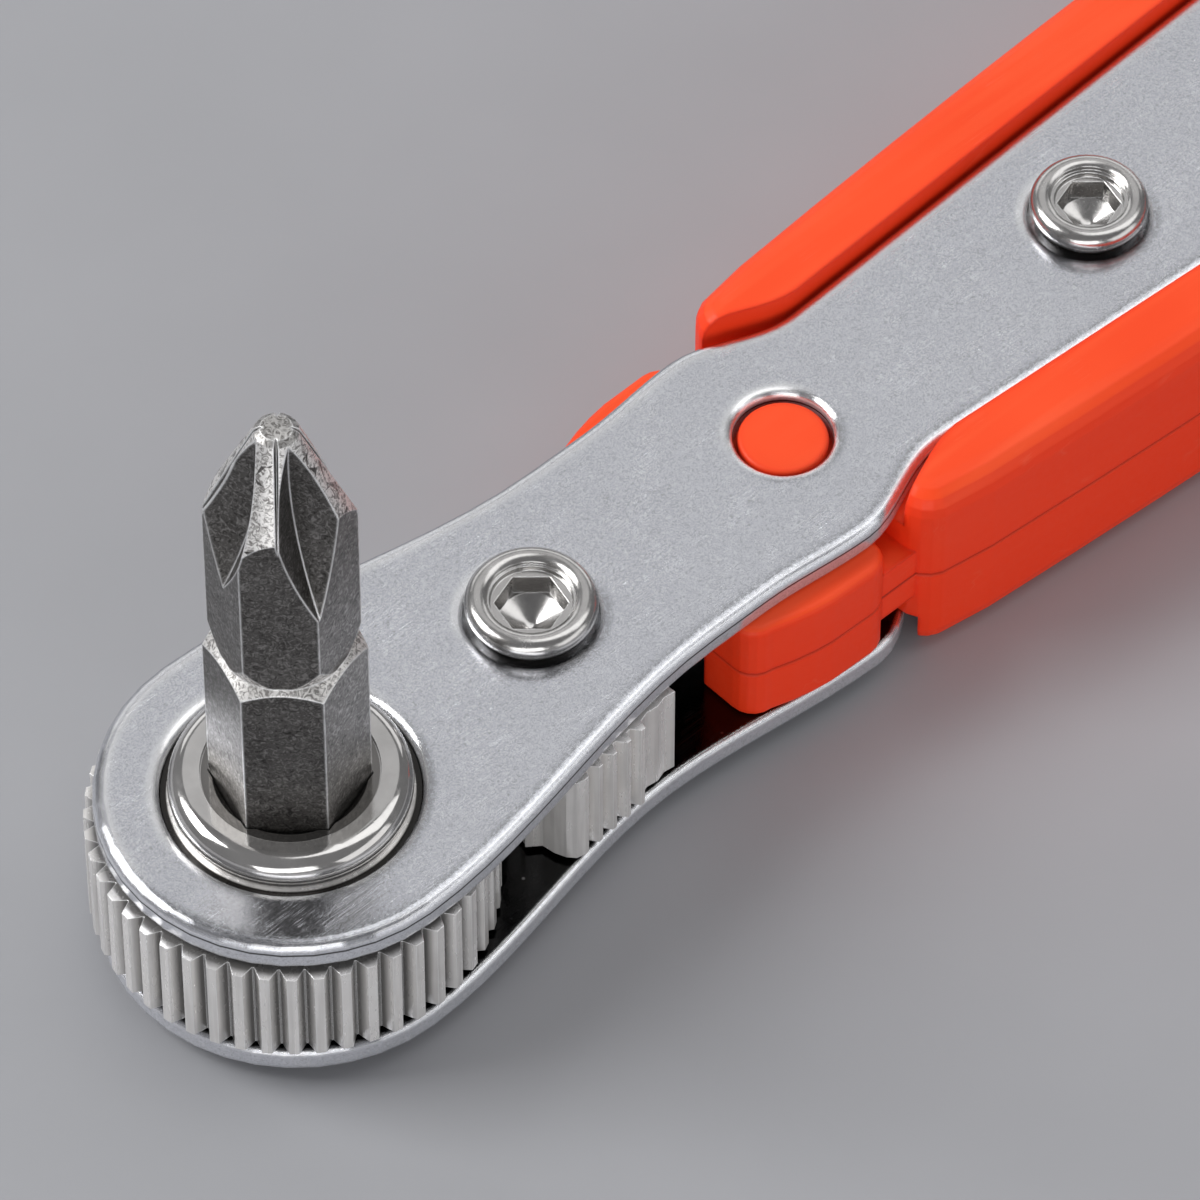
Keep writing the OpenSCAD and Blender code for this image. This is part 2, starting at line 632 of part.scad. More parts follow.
module tail_post() {
    color(nickel) translate([tail_x, 0, 0]) post(rear_head_d, rear_barrel_d, rear_hex_af);
}

// A screw that enters a post from below, with a low flat head and a hex socket
module screw(head_d) {
    translate([0, 0, low_plate_z - foot_h]) difference() {
        rotate_extrude() polygon([[0, 0], [head_d / 2 - foot_bevel, 0],
            [head_d / 2, foot_bevel], [head_d / 2, foot_h], [screw_d / 2, foot_h],
            [screw_d / 2, foot_h + screw_l], [0, foot_h + screw_l]]);
        translate([0, 0, -cut]) hex_prism(screw_hex_af, screw_hex_l + cut);
    }
}

module pivot_screw() {
    color(nickel) translate([pivot_x, 0, 0]) screw(pivot_head_d);
}

module rear_screw() {
    color(nickel) translate([rear_x, 0, 0]) screw(rear_head_d);
}

module tail_screw() {
    color(nickel) translate([tail_x, 0, 0]) screw(rear_head_d);
}

// Half width of the grip, and its side from the front to the end of the tail
function grip_half(x) = let (t = (x - grip_x) / (end_x - tail_l - grip_x))
    grip_w - (grip_w - grip_front_w) * (1 - t) * (1 - t);
grip_side = concat([[grip_x - grip_bow, 0]],
    [for (a = [0 : 18 : 90]) [grip_x + grip_corner_r * (1 - cos(a)),
        grip_front_w - grip_corner_r * (1 - sin(a))]],
    [for (x = steps(grip_x + grip_lead, end_x - tail_l, 9)) [x, grip_half(x)]],
    [for (a = [0 : 9 : 90]) [end_x - tail_l + tail_l * sin(a), grip_w * cos(a)]]);

// Side of the nose block between the grip and the plates' gap: it widens with the lower plate
block_side = concat([[block_x - block_bow, 0]],
    [for (a = [0 : 18 : 72]) [block_x + block_corner_r * (1 - cos(a)),
        block_w - block_taper - block_corner_r * (1 - sin(a))]],
    [for (t = [0 : 0.25 : 0.75]) [block_x + block_corner_r + t * block_taper_l,
        block_w - block_taper * (1 - t) * (1 - t)]],
    [for (a = [90 : -18 : 0]) [block_end_x - block_corner_r * (1 - cos(a)),
        block_w - block_corner_r * (1 - sin(a))]],
    [[block_end_x + block_bow, 0]]);

// The upper half of the handle over the parting plane, for the plate outline given.
// Sockets of the depth given take the other half's pegs.
module shell_half(side, socket_l) {
    difference() {
        union() {
            loft(both_sides(grip_side), concat([[mid_z, -parting], [mid_z + parting, 0]],
                round_top(handle_top_z, grip_edge_r)));
            loft(both_sides(block_side), concat([[mid_z, -parting], [mid_z + parting, 0]],
                round_top(top_plate_z, block_edge_r)));
            translate([block_end_x - block_corner_r, 0, mid_z]) {
                translate([0, web_inset - block_w, 0])
                    cube([notch_l + 2 * block_corner_r, 2 * (block_w - web_inset), web_t / 2]);
                translate([0, -core_w, 0]) cube([notch_l + 2 * block_corner_r, 2 * core_w, gap_h / 2]);
            }
        }
        translate([0, 0, top_plate_z]) linear_extrude(handle_top_z - top_plate_z + cut)
            polygon(grown(both_sides(side), recess_gap));
        for (x = [rear_x, tail_x]) translate([x, 0, mid_z - cut])
            cylinder(d = rear_barrel_d + 2 * fit, h = gap_h);
        if (socket_l > 0) for (x = peg_xs) translate([x, 0, mid_z - cut])
            cylinder(d = peg_d + 2 * fit, h = socket_l + cut);
        translate([block_x - cut, -recess_w, mid_z - cut]) cube([recess_l + cut, 2 * recess_w, gap_h]);
        translate([spring_x - spring_t / 2 - fit, -recess_w - slot_h, mid_z - cut])
            cube([spring_t + 2 * fit, 2 * (recess_w + slot_h), gap_h]);
    }
    translate([boss_x, 0, top_plate_z - boss_edge_r]) boss();
}

// The round boss that locates a plate on its shell
module boss() {
    h = plate_t - boss_drop + boss_edge_r;
    r = boss_d / 2;
    rotate_extrude() {
        square([r, h - boss_edge_r]);
        square([r - boss_edge_r, h]);
        translate([r - boss_edge_r, h - boss_edge_r]) circle(r = boss_edge_r, $fn = 32);
    }
}

module handle_upper_shell() {
    color(plastic) shell_half(upper_side(step_gap), peg_l + fit);
}

module handle_lower_shell() {
    color(plastic) {
        translate([0, 0, 2 * mid_z]) mirror([0, 0, 1]) shell_half(lower_side(step_gap), 0);
        for (x = peg_xs) translate([x, 0, mid_z - peg_l]) cylinder(d = peg_d, h = 2 * peg_l);
    }
}

upper_plate();
lower_plate();
ratchet_wheel();
upper_thrust_washer();
lower_thrust_washer();
bit_retaining_ring();
socket_magnet();
screwdriver_bit();
direction_pawl();
upper_pawl_washer();
lower_pawl_washer();
detent_spring();
pivot_post();
pivot_screw();
rear_post();
rear_screw();
tail_post();
tail_screw();
handle_upper_shell();
handle_lower_shell();
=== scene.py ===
# Looks of the ratcheting screwdriver: finishes for its pieces, a floor, soft lights and a camera.
import math

import bpy
from mathutils import Matrix, Vector


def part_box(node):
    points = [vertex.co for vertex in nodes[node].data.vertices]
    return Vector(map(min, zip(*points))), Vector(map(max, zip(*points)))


MM = 0.001
IMAGE_PX = 1200


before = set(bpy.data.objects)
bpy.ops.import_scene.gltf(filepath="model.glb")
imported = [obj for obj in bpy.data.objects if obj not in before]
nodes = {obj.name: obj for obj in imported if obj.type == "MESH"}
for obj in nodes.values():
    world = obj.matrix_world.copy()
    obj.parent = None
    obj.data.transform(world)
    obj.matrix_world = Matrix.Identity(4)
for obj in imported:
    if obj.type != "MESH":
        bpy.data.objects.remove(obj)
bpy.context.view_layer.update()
PLATE_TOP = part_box("upper_plate")[1][2]

# The camera: it is placed so that the drive axis, where it leaves the upper plate,
# falls on the pixel given
LENS_MM = 300
SENSOR_MM = 36
CLIP_START = 10 * MM
PITCH = math.radians(52.5)
HEADING = math.radians(42.2)
ANCHOR = Vector((0, 0, PLATE_TOP))
ANCHOR_PX = (291, 786)
ANCHOR_DEPTH = 448.4 * MM


def add_camera():
    focal_px = LENS_MM / SENSOR_MM * IMAGE_PX
    ahead = Vector((math.sin(HEADING), math.cos(HEADING), 0))
    right = Vector((math.cos(HEADING), -math.sin(HEADING), 0))
    view = ahead * math.cos(PITCH) - Vector((0, 0, 1)) * math.sin(PITCH)
    up = right.cross(view)
    x = (ANCHOR_PX[0] - IMAGE_PX / 2) / focal_px
    y = (IMAGE_PX / 2 - ANCHOR_PX[1]) / focal_px
    place = ANCHOR - ANCHOR_DEPTH * (view + x * right + y * up)
    data = bpy.data.cameras.new("camera")
    data.lens = LENS_MM
    data.sensor_width = SENSOR_MM
    data.clip_start = CLIP_START
    camera = bpy.data.objects.new("camera", data)
    turn = Matrix((right, up, -view)).transposed().to_4x4()
    camera.matrix_world = Matrix.Translation(place) @ turn
    bpy.context.scene.collection.objects.link(camera)
    bpy.context.scene.camera = camera
    return right, ahead


camera_right, camera_ahead = add_camera()

# Textures: the values that a noise reaches in most places and their middle, where the patches
# of pits start, and for the scratches the scale of their patches, what each radian of turn adds
# to it, the patches' fade and how much coarser the scratches are upright than across
NOISE_REACH = (0.3, 0.7)
NOISE_MIDDLE = 0.5
PIT_PATCH_START = 0.5
SCRATCH_PATCH_SCALE = 420.0
SCRATCH_PATCH_STEP = 60.0
SCRATCH_PATCH_FADE = 0.08
SCRATCH_UPRIGHT = 6

# Edges and lines: the samples of a rounding, and the part of a line's width that is full
BEVEL_SAMPLES = 6
LINE_CORE = 0.4


class Graph:
    """A material's node tree, built by calls that return output sockets

    A mask is 1 where it has its full effect and 0 where it has none, and a pair of numbers says
    where a mask starts and where it is full. A texture's scale is the number of its cells to the
    metre; a stretched place has a scale of its own for each axis."""

    def __init__(self, name):
        self.material = bpy.data.materials.new(name)
        self.material.use_nodes = True
        self.tree = self.material.node_tree
        self.tree.nodes.clear()
        self.place = self.node("ShaderNodeTexCoord").outputs["Object"]

    def node(self, kind, **values):
        made = self.tree.nodes.new(kind)
        for key, value in values.items():
            setattr(made, key, value)
        return made

    def put(self, socket, value):
        if isinstance(value, bpy.types.NodeSocket):
            self.tree.links.new(value, socket)
        else:
            socket.default_value = value

    def math(self, kind, a, b=0.0, clamp=False):
        made = self.node("ShaderNodeMath", operation=kind, use_clamp=clamp)
        self.put(made.inputs[0], a)
        self.put(made.inputs[1], b)
        return made.outputs[0]

    def plus(self, a, b, clamp=False):
        return self.math("ADD", a, b, clamp)

    def minus(self, a, b, clamp=False):
        return self.math("SUBTRACT", a, b, clamp)

    def times(self, first, *others):
        for other in others:
            first = self.math("MULTIPLY", first, other)
        return first

    def largest(self, first, *others):
        for other in others:
            first = self.math("MAXIMUM", first, other)
        return first

    def apart(self, a, b):
        """How far two values are apart"""
        return self.math("ABSOLUTE", self.minus(a, b))

    def span(self, value, start, end, at_start=0.0, at_end=1.0):
        """Goes from one result to the other while the value goes from start to end"""
        made = self.node("ShaderNodeMapRange", clamp=True)
        for key, number in (("Value", value), ("From Min", start), ("From Max", end),
                            ("To Min", at_start), ("To Max", at_end)):
            self.put(made.inputs[key], number)
        return made.outputs[0]

    def spread(self, noise, low=0.0, high=1.0):
        return self.span(noise, *NOISE_REACH, low, high)

    def paint(self, under, over, where, share=1.0):
        """Lays one colour over another where the mask is, at most to the share given"""
        made = self.node("ShaderNodeMix", data_type="RGBA")
        self.put(made.inputs["Factor"], where if share == 1.0 else self.times(where, share))
        self.put(made.inputs["A"], under)
        self.put(made.inputs["B"], over)
        return made.outputs["Result"]

    def stretched(self, scale, turn=0.0):
        """The place with a scale for each axis, turned about the upright one"""
        made = self.node("ShaderNodeMapping")
        self.put(made.inputs["Vector"], self.place)
        self.put(made.inputs["Scale"], scale)
        self.put(made.inputs["Rotation"], (0, 0, turn))
        return made.outputs[0]

    def noise(self, scale, detail=3.0, rough=0.5, where=None, twist=0.0):
        made = self.node("ShaderNodeTexNoise")
        self.put(made.inputs["Vector"], where or self.place)
        self.put(made.inputs["Scale"], scale)
        self.put(made.inputs["Detail"], detail)
        self.put(made.inputs["Roughness"], rough)
        self.put(made.inputs["Distortion"], twist)
        return made.outputs["Fac"]

    def split(self, vector):
        made = self.node("ShaderNodeSeparateXYZ")
        self.put(made.inputs[0], vector)
        return made.outputs

    def level(self):
        return self.split(self.place)["Z"]

    def across(self):
        return self.split(self.place)["Y"]

    def radius(self, shift=(0, 0, 0)):
        """Distance from the drive axis, or from the upright axis that the shift brings onto it"""
        made = self.node("ShaderNodeVectorMath", operation="MULTIPLY_ADD")
        self.put(made.inputs[0], self.place)
        self.put(made.inputs[1], (1, 1, 0))
        self.put(made.inputs[2], shift)
        length = self.node("ShaderNodeVectorMath", operation="LENGTH")
        self.put(length.inputs[0], made.outputs[0])
        return length.outputs["Value"]

    def line_at(self, level, half):
        """Mask of a thin line round the piece at the level given"""
        return self.span(self.apart(self.level(), level), half, LINE_CORE * half)

    def true_normal(self):
        return self.node("ShaderNodeNewGeometry").outputs["True Normal"]

    def levelness(self):
        """1 on level faces, 0 on walls"""
        return self.math("ABSOLUTE", self.split(self.true_normal())["Z"])

    def rounded(self, radius):
        made = self.node("ShaderNodeBevel", samples=BEVEL_SAMPLES)
        self.put(made.inputs["Radius"], radius)
        return made.outputs[0]

    def edge(self, width, start=0.995, end=0.86):
        """Mask of the piece's edges; start and end say how far the rounding turns the face"""
        made = self.node("ShaderNodeVectorMath", operation="DOT_PRODUCT")
        self.put(made.inputs[0], self.rounded(width))
        self.put(made.inputs[1], self.true_normal())
        return self.span(made.outputs["Value"], start, end)

    def pits(self, scale, size, patch_scale, patch_end):
        """Mask of small pits in patches, their size given as a share of a cell"""
        made = self.node("ShaderNodeTexVoronoi")
        self.put(made.inputs["Vector"], self.place)
        self.put(made.inputs["Scale"], scale)
        dots = self.span(made.outputs["Distance"], size, 0.0)
        return self.times(dots, self.span(self.noise(patch_scale), PIT_PATCH_START, patch_end))

    def scratches(self, turn, along=90.0, across=9000.0, width=0.035, patch_start=0.55):
        """Mask of straight scratches in patches, which run in the direction given"""
        stretch = self.stretched((along, across, across / SCRATCH_UPRIGHT), turn)
        lines = self.noise(1.0, detail=1.0, where=stretch)
        patches = self.noise(SCRATCH_PATCH_SCALE + SCRATCH_PATCH_STEP * turn, detail=2.0)
        return self.times(self.span(self.apart(lines, NOISE_MIDDLE), width, 0.0),
                          self.span(patches, patch_start, patch_start + SCRATCH_PATCH_FADE))

    def bump(self, height, depth, strength, normal=None):
        made = self.node("ShaderNodeBump")
        self.put(made.inputs["Height"], height)
        self.put(made.inputs["Distance"], depth)
        self.put(made.inputs["Strength"], strength)
        if normal is not None:
            self.put(made.inputs["Normal"], normal)
        return made.outputs[0]

    def finish(self, **inputs):
        shader = self.node("ShaderNodeBsdfPrincipled")
        for key, value in inputs.items():
            self.put(shader.inputs[key.replace("_", " ")], value)
        out = self.node("ShaderNodeOutputMaterial")
        self.tree.links.new(shader.outputs[0], out.inputs["Surface"])
        return self.material


def grey(value, warm=0.0):
    return (value * (1 + warm), value, value * (1 - warm), 1)


# Painted shade: the near black that is put into gaps between parts
GAP_SHADE_BLACK = grey(0.02, 0.1)

# Plates: curled grain, scratches and pits, with the rolled edges painted white as a highlight.
# Along these runs a border, painted near white as a sheen on one side of the plates' middle line
# and painted dark as shade, with dark specks, on the other. A dark line ends the upper plate's
# rounding, and the lower plate's inner face is painted dark as shade between the plates
LOW_PLATE_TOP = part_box("lower_plate")[1][2]
ROUNDING_FOOT = PLATE_TOP - 0.58 * MM
FOOT_LINE_HALF = 0.08 * MM
INNER_SHADE_HALF = 0.1 * MM
PLATE_ROUNDING = 0.45 * MM
PLATE_RELIEF = 0.008 * MM
ROLLED_HIGHLIGHT_ON_WALL = 0.25 * MM
ROLLED_HIGHLIGHT_ON_FACE = 0.4 * MM
BORDER_W = 1.0 * MM
MIDDLE_FADE = 2 * MM
PLATE_SCRATCH_TURNS = (0.7, -0.5, 1.9, 2.7)
PLATE_GREY = (0.62, 0.63, 0.68, 1)
PLATE_PALE = (0.66, 0.67, 0.72, 1)


def plate_steel(name, shaded_inner_face=False):
    g = Graph(name)
    scratch = g.largest(*[g.scratches(turn) for turn in PLATE_SCRATCH_TURNS])
    cloud = g.noise(260.0, detail=4.0, rough=0.6)
    curls = g.noise(3600.0, detail=2.0, rough=0.6, twist=3.0)
    pits = g.pits(1500.0, 0.16, patch_scale=500.0, patch_end=0.62)
    levelness = g.levelness()
    flat = g.span(levelness, 0.96, 0.995)
    rolled_highlight = g.largest(g.times(g.edge(ROLLED_HIGHLIGHT_ON_WALL), g.minus(1.0, flat)),
                       g.edge(ROLLED_HIGHLIGHT_ON_FACE, 0.985, 0.95))
    border = g.times(g.edge(BORDER_W, 0.9999, 0.992), flat)
    # The border is painted near white as a sheen on one side of the middle line, dark as shade on
    # the other
    hub_polish_and_border_sheen = g.times(border, g.span(g.across(), 0.0, MIDDLE_FADE))
    # Painted shade: the near side's border is painted dark, and the dark specks stand only in it
    border_shade = g.times(border, g.span(g.across(), 0.0, -MIDDLE_FADE))
    specks = g.times(border_shade, g.span(g.noise(4200.0, rough=0.7), 0.42, 0.54))
    colour = g.paint(PLATE_GREY, PLATE_PALE, g.spread(cloud))
    colour = g.paint(colour, grey(0.82, -0.02), g.span(curls, 0.5, 0.66), 0.6)
    colour = g.paint(colour, grey(0.45, -0.02), g.span(curls, 0.48, 0.34), 0.6)
    colour = g.paint(colour, grey(0.35), pits, 0.4)
    colour = g.paint(colour, grey(0.85), scratch, 0.2)
    # Painted highlight on one side's border, then painted shade with dark specks on the other's
    colour = g.paint(colour, grey(1.0), hub_polish_and_border_sheen, 0.8)
    colour = g.paint(colour, grey(0.3, -0.03), border_shade, 0.35)
    colour = g.paint(colour, grey(0.2, -0.03), specks, 0.6)
    rough = g.plus(g.spread(curls, 0.15, 0.22), g.spread(cloud, -0.02, 0.03))
    if shaded_inner_face:
        # Painted shade: the lower plate's inner face, between the plates, is painted dark, with
        # pale pits
        inner_shade = g.times(flat, g.line_at(LOW_PLATE_TOP, INNER_SHADE_HALF))
        colour = g.paint(colour, g.paint(grey(0.035), grey(0.8), pits), inner_shade)
        rough = g.minus(rough, g.times(inner_shade, 0.12))
    # Painted highlight: the rolled edges are painted white; their lower roughness is real polish
    colour = g.paint(colour, grey(1.0), rolled_highlight)
    if not shaded_inner_face:
        colour = g.paint(colour, grey(0.08), g.line_at(ROUNDING_FOOT, FOOT_LINE_HALF))
    rough = g.minus(rough, g.times(rolled_highlight, 0.08), clamp=True)
    height = g.minus(curls, g.times(scratch, 0.4))
    height = g.minus(height, g.plus(pits, specks))
    height = g.times(height, g.minus(flat, rolled_highlight, clamp=True))
    normal = g.bump(height, PLATE_RELIEF, 0.7, g.rounded(PLATE_ROUNDING))
    metallic = g.span(levelness, 0.2, 0.8, 0.6, 1.0)
    return g.finish(Base_Color=colour, Metallic=metallic, Roughness=rough, Normal=normal)


# Wheel and pawl: upright lines, a hub polished from the plate's face up, edges painted white as
# highlights, painted shade at the roots of the teeth and in the mouth of the socket, and the gap
# round the hub painted black as shade
HUB_POLISH = (PLATE_TOP - 0.3 * MM, PLATE_TOP - 0.1 * MM)
HUB_MOUTH_SHADE_R = (4.05 * MM, 4.0 * MM)
HUB_GAP_SHADE_R = (5.56 * MM, 5.64 * MM)
HUB_GAP_SHADE_TOP = (PLATE_TOP - 0.18 * MM, PLATE_TOP - 0.22 * MM)
HUB_GAP_SHADE_FOOT = (PLATE_TOP - 0.7 * MM, PLATE_TOP - 0.65 * MM)
ROOT_SHADE_R = (9.3 * MM, 8.95 * MM)
ROOT_SHADE_TOP = (PLATE_TOP - 1.6 * MM, PLATE_TOP - 1.7 * MM)
TOOTH_HIGHLIGHT_EDGE = 0.08 * MM
WHEEL_ROUNDING = 0.05 * MM
WHEEL_RELIEF = 0.004 * MM


def wheel_nickel():
    g = Graph("wheel_nickel")
    lines = g.noise(1.0, detail=2.0, where=g.stretched((2600, 2600, 130)))
    cloud = g.noise(500.0, rough=0.55)
    grain = g.noise(9000.0, detail=2.0, rough=0.6)
    pits = g.pits(2100.0, 0.15, patch_scale=900.0, patch_end=0.6)
    level = g.level()
    radius = g.radius()
    hub_polish_and_border_sheen = g.span(level, *HUB_POLISH)
    # Painted shade in the socket's mouth, at the roots of the teeth and in the gap round the hub
    mouth_shade = g.times(g.span(radius, *HUB_MOUTH_SHADE_R), hub_polish_and_border_sheen)
    root_shade = g.times(g.span(radius, *ROOT_SHADE_R), g.span(level, *ROOT_SHADE_TOP))
    gap_shade = g.times(g.span(radius, *HUB_GAP_SHADE_R), g.span(level, *HUB_GAP_SHADE_TOP),
                  g.span(level, *HUB_GAP_SHADE_FOOT))
    hub = g.paint(grey(0.5, 0.02), grey(0.6, 0.02), g.spread(cloud))
    colour = g.paint(grey(0.82, 0.025), grey(0.9, 0.02), g.spread(cloud))
    colour = g.paint(colour, grey(0.3, 0.03), pits, 0.5)
    colour = g.paint(colour, grey(0.45, 0.03), g.span(lines, 0.5, 0.34), 0.3)
    # Painted shade at the roots of the teeth
    colour = g.paint(colour, grey(0.16, 0.03), root_shade, 0.85)
    colour = g.paint(colour, hub, hub_polish_and_border_sheen)
    # Painted highlight: the edges are painted white
    colour = g.paint(colour, grey(1.0), g.edge(TOOTH_HIGHLIGHT_EDGE, 0.98, 0.85))
    # Painted shade in the socket's mouth and in the gap round the hub
    colour = g.paint(colour, grey(0.12, 0.05), mouth_shade, 0.85)
    colour = g.paint(colour, GAP_SHADE_BLACK, gap_shade)
    rough = g.minus(g.spread(lines, 0.2, 0.3), g.times(hub_polish_and_border_sheen, 0.14))
    rough = g.plus(rough, g.spread(cloud, -0.03, 0.04), clamp=True)
    height = g.times(lines, g.span(hub_polish_and_border_sheen, 0.0, 1.0, 1.0, 0.2))
    height = g.plus(height, g.times(grain, 0.25))
    height = g.minus(height, pits)
    normal = g.bump(height, WHEEL_RELIEF, 0.5, g.rounded(WHEEL_ROUNDING))
    metallic = g.span(hub_polish_and_border_sheen, 0.0, 1.0, 0.5, 0.85)
    return g.finish(Base_Color=colour, Metallic=metallic, Roughness=rough, Normal=normal)


# Posts and screws: smooth nickel with edges painted pale as highlights, and the gap under a
# post's head painted black as shade
HEAD_GAP_SHADE_R = (2.0 * MM, 2.1 * MM)
HEAD_GAP_SHADE_TOP = (PLATE_TOP + 0.22 * MM, PLATE_TOP + 0.12 * MM)
HEAD_GAP_SHADE_FOOT = (PLATE_TOP - 1.0 * MM, PLATE_TOP - 0.9 * MM)
POST_HIGHLIGHT_EDGE = 0.12 * MM
POST_ROUNDING = 0.08 * MM
POST_RELIEF = 0.003 * MM


def post_nickel(piece):
    """The painted shade of the gap is measured from the piece's own axis"""
    g = Graph(piece + "_nickel")
    low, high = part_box(piece)
    radius = g.radius(shift=(-0.5 * (low[0] + high[0]), -0.5 * (low[1] + high[1]), 0))
    level = g.level()
    cloud = g.noise(700.0, rough=0.55)
    grain = g.noise(8000.0, detail=2.0, rough=0.6)
    # Painted shade: the gap under the head is painted black
    gap_shade = g.times(g.span(level, *HEAD_GAP_SHADE_TOP), g.span(level, *HEAD_GAP_SHADE_FOOT),
                  g.span(radius, *HEAD_GAP_SHADE_R))
    colour = g.paint(grey(0.48, 0.02), grey(0.58, 0.02), g.spread(cloud))
    # Painted highlight on the edges
    colour = g.paint(colour, grey(0.94), g.edge(POST_HIGHLIGHT_EDGE), 0.6)
    colour = g.paint(colour, GAP_SHADE_BLACK, gap_shade)
    rough = g.plus(g.spread(grain, 0.17, 0.25), g.spread(cloud, -0.02, 0.05), clamp=True)
    normal = g.bump(grain, POST_RELIEF, 0.4, g.rounded(POST_ROUNDING))
    return g.finish(Base_Color=colour, Metallic=0.95, Roughness=rough, Normal=normal)


# Bit: coarse dark grain, with the edges painted white in patches as highlights. The tip's cone,
# the nib on it and the bevels between shank and neck are ground and paler. The cone runs from
# the neck's corners to its end, and its faces are told from the flutes by their slope and by how
# far they stand inside the cone, which is taken up from the nib's top
BIT_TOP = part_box("screwdriver_bit")[1][2]
NIB_FOOT = (BIT_TOP - 0.75 * MM, BIT_TOP - 0.6 * MM)
BEVELS_TOP = (BIT_TOP - 13.25 * MM, BIT_TOP - 13.35 * MM)
BEVEL_LEVELNESS = (0.15, 0.25)
CONE_L = 5.4 * MM
CONE_END_R = 1.0 * MM
NECK_CORNER_R = 3.395 * MM
CONE_SLOPE = (NECK_CORNER_R - CONE_END_R) / CONE_L
CONE_APEX = BIT_TOP + CONE_END_R / CONE_SLOPE
CONE_LEVELNESS = CONE_SLOPE / math.hypot(1.0, CONE_SLOPE)
CONE_LEVELNESS_OFF = (0.04, 0.02)
CONE_PROUD = (-0.3 * MM, -0.2 * MM)
BIT_HIGHLIGHT_EDGE = 0.17 * MM
BIT_ROUNDING = 0.1 * MM
BIT_RELIEF = 0.014 * MM


def bit_steel():
    g = Graph("bit_steel")
    grain = g.noise(3300.0, rough=0.6, twist=1.8)
    fine = g.noise(11000.0, detail=2.0, rough=0.6)
    cloud = g.noise(600.0, detail=4.0, rough=0.6)
    level = g.level()
    levelness = g.levelness()
    # Painted highlight along the edges, broken into patches
    edge_highlight = g.times(g.edge(BIT_HIGHLIGHT_EDGE, 0.99, 0.93), g.span(g.noise(1500.0), 0.3, 0.55, 0.7, 1.0))
    proud = g.minus(g.radius(), g.times(g.minus(CONE_APEX, level), CONE_SLOPE))
    cone = g.times(g.span(proud, *CONE_PROUD),
                   g.span(g.apart(levelness, CONE_LEVELNESS), *CONE_LEVELNESS_OFF))
    nib = g.span(level, *NIB_FOOT, 0.0, 0.5)
    bevel = g.times(g.span(levelness, *BEVEL_LEVELNESS), g.span(level, *BEVELS_TOP))
    ground = g.largest(cone, nib, bevel)
    colour = g.paint(grey(0.085, 0.06), grey(0.125, 0.05), g.spread(cloud))
    colour = g.paint(colour, grey(0.27, 0.04), g.span(grain, 0.5, 0.68))
    colour = g.paint(colour, grey(0.04, 0.06), g.span(grain, 0.44, 0.32))
    pale = g.paint(grey(0.3, 0.04), grey(0.97, 0.02), g.span(grain, 0.4, 0.55))
    colour = g.paint(colour, pale, ground, 0.9)
    # Painted highlight: the edges are painted white
    colour = g.paint(colour, grey(1.0), edge_highlight)
    rough = g.spread(grain, 0.42, 0.28)
    rough = g.plus(rough, g.times(g.largest(ground, edge_highlight), 0.1), clamp=True)
    height = g.plus(grain, g.times(fine, 0.3))
    normal = g.bump(height, BIT_RELIEF, 0.6, g.rounded(BIT_ROUNDING))
    return g.finish(Base_Color=colour, Metallic=0.85, Roughness=rough, Normal=normal)


# Springs, washers and magnet: plain steel with fine lines, and edges painted pale as highlights
SPRING_HIGHLIGHT_EDGE = 0.1 * MM
SPRING_ROUNDING = 0.08 * MM
SPRING_RELIEF = 0.004 * MM


def spring_steel():
    g = Graph("spring_steel")
    cloud = g.noise(500.0, rough=0.55)
    lines = g.noise(1.0, detail=2.0, where=g.stretched((400, 400, 5200)))
    colour = g.paint(grey(0.4), grey(0.52), g.spread(cloud))
    # Painted highlight on the edges
    colour = g.paint(colour, grey(0.8), g.edge(SPRING_HIGHLIGHT_EDGE), 0.5)
    rough = g.spread(lines, 0.28, 0.42)
    normal = g.bump(lines, SPRING_RELIEF, 0.5, g.rounded(SPRING_ROUNDING))
    return g.finish(Base_Color=colour, Metallic=1.0, Roughness=rough, Normal=normal)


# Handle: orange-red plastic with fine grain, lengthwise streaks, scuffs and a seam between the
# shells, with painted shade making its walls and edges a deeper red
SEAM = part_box("handle_upper_shell")[0][2]
SEAM_HALF = 0.14 * MM
HANDLE_SHADE_EDGE = 0.55 * MM
HANDLE_ROUNDING = 0.25 * MM
HANDLE_RELIEF = 0.006 * MM
HANDLE_RED = (0.95, 0.07, 0.014, 1)
HANDLE_BRIGHT = (0.99, 0.085, 0.02, 1)
STREAK_RED = (1.0, 0.115, 0.035, 1)
WALL_SHADE_RED = (0.98, 0.045, 0.01, 1)
EDGE_SHADE_RED = (0.95, 0.032, 0.006, 1)
SCUFF_RED = (1.0, 0.2, 0.11, 1)
SEAM_RED = (0.5, 0.025, 0.008, 1)


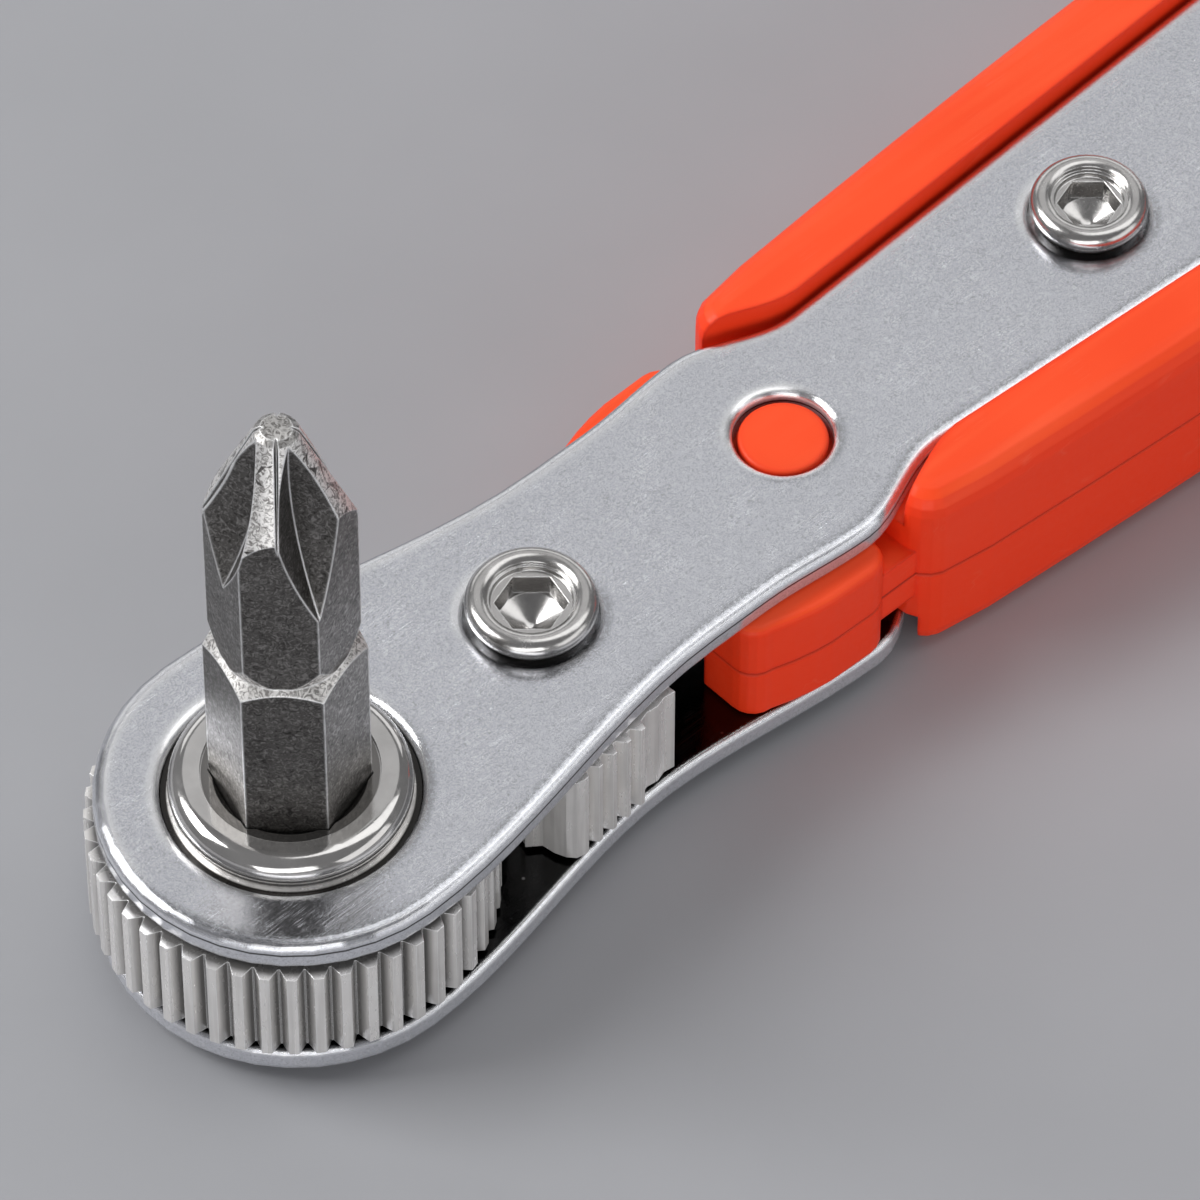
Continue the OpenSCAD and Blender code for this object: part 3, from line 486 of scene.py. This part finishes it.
def handle_plastic():
    g = Graph("handle_plastic")
    grain = g.noise(3400.0, rough=0.6)
    fine = g.noise(12000.0, detail=2.0)
    cloud = g.noise(120.0)
    streaks = g.noise(1.0, detail=2.0, where=g.stretched((60, 900, 900)))
    wall_shade = g.span(g.levelness(), 0.85, 0.4)
    scuff = g.times(g.scratches(0.3, 120.0, 6000.0, width=0.03, patch_start=0.6), 0.6)
    colour = g.paint(HANDLE_RED, HANDLE_BRIGHT, g.spread(cloud))
    colour = g.paint(colour, STREAK_RED, g.span(streaks, 0.45, 0.7), 0.6)
    # Painted shade: the walls and edges are painted a deeper red
    colour = g.paint(colour, WALL_SHADE_RED, wall_shade, 0.8)
    # Painted shade on the rounded edges
    colour = g.paint(colour, EDGE_SHADE_RED, g.edge(HANDLE_SHADE_EDGE, 0.99, 0.9), 0.6)
    colour = g.paint(colour, SCUFF_RED, scuff, 0.3)
    colour = g.paint(colour, SEAM_RED, g.line_at(SEAM, SEAM_HALF), 0.7)
    rough = g.spread(grain, 0.36, 0.48)
    height = g.minus(g.plus(grain, g.times(fine, 0.5)), scuff)
    normal = g.bump(height, HANDLE_RELIEF, 0.5, g.rounded(HANDLE_ROUNDING))
    return g.finish(Base_Color=colour, Roughness=rough, Normal=normal, Specular_IOR_Level=0.22)


def dress(finish, *pieces):
    for piece in pieces:
        for slot in nodes[piece].material_slots:
            slot.material = finish


dress(plate_steel("plate_steel"), "upper_plate")
dress(plate_steel("low_plate_steel", shaded_inner_face=True), "lower_plate")
dress(wheel_nickel(), "ratchet_wheel", "direction_pawl")
dress(bit_steel(), "screwdriver_bit")
dress(spring_steel(), "socket_magnet", "bit_retaining_ring", "detent_spring",
      "upper_thrust_washer", "lower_thrust_washer", "upper_pawl_washer", "lower_pawl_washer")
dress(handle_plastic(), "handle_upper_shell", "handle_lower_shell")
for place in ("pivot", "rear", "tail"):
    for part in ("post", "screw"):
        piece = f"{place}_{part}"
        dress(post_nickel(piece), piece)

# The floor: plain grey with a faint mottle
FLOOR_HALF = 2500 * MM
FLOOR_RELIEF = 0.01 * MM
FLOOR_GREY = (0.348, 0.352, 0.371, 1)
FLOOR_PALE = (0.36, 0.364, 0.384, 1)


def add_floor():
    g = Graph("floor")
    colour = g.paint(FLOOR_GREY, FLOOR_PALE, g.spread(g.noise(90.0)))
    normal = g.bump(g.noise(2500.0, detail=2.0), FLOOR_RELIEF, 0.3)
    material = g.finish(Base_Color=colour, Roughness=0.7, Normal=normal)
    corners = [(x * FLOOR_HALF, y * FLOOR_HALF, 0) for x, y in ((-1, -1), (1, -1), (1, 1), (-1, 1))]
    mesh = bpy.data.meshes.new("floor")
    mesh.from_pydata(corners, [], [(0, 1, 2, 3)])
    mesh.materials.append(material)
    floor = bpy.data.objects.new("floor", mesh)
    bpy.context.scene.collection.objects.link(floor)


add_floor()

# The lights: soft boxes round the tool, each aimed at it. Places are to the camera's right,
# ahead of it and up, in metres from the aim; a box's second side runs ahead.
AIM = Vector((22 * MM, 0, 8 * MM))
WORLD_GREY = (0.17, 0.17, 0.175, 1)


def add_softbox(name, place, size, radiance):
    data = bpy.data.lights.new(name, "AREA")
    data.shape = "RECTANGLE"
    data.size = size[0]
    data.size_y = size[1]
    data.energy = radiance * math.pi * size[0] * size[1]
    lamp = bpy.data.objects.new(name, data)
    side, ahead, height = place
    where = AIM + camera_right * side + camera_ahead * ahead + Vector((0, 0, height))
    back = (where - AIM).normalized()
    along = (camera_ahead - camera_ahead.dot(back) * back).normalized()
    turn = Matrix((along.cross(back), along, back)).transposed().to_4x4()
    lamp.matrix_world = Matrix.Translation(where) @ turn
    bpy.context.scene.collection.objects.link(lamp)


add_softbox("key_softbox", place=(-0.97, 0.12, 0.95), size=(0.7, 0.7), radiance=9.0)
add_softbox("top_softbox", place=(0.4, 0.2, 0.95), size=(1.0, 0.5), radiance=1.6)
add_softbox("back_softbox", place=(0.0, 0.75, 0.95), size=(1.0, 0.45), radiance=0.54)
add_softbox("low_back_softbox", place=(0.0, 1.1, 0.45), size=(1.8, 0.4), radiance=1.1)
add_softbox("front_softbox", place=(-0.1, -1.15, 0.35), size=(1.0, 0.5), radiance=3.0)
add_softbox("fill_softbox", place=(0.85, -0.45, 0.3), size=(0.5, 0.9), radiance=1.2)


def add_world():
    world = bpy.data.worlds.new("studio")
    world.use_nodes = True
    bpy.context.scene.world = world
    surround = world.node_tree.nodes["Background"]
    surround.inputs["Color"].default_value = WORLD_GREY
    surround.inputs["Strength"].default_value = 1.0


add_world()
bpy.context.scene.view_settings.view_transform = "Standard"
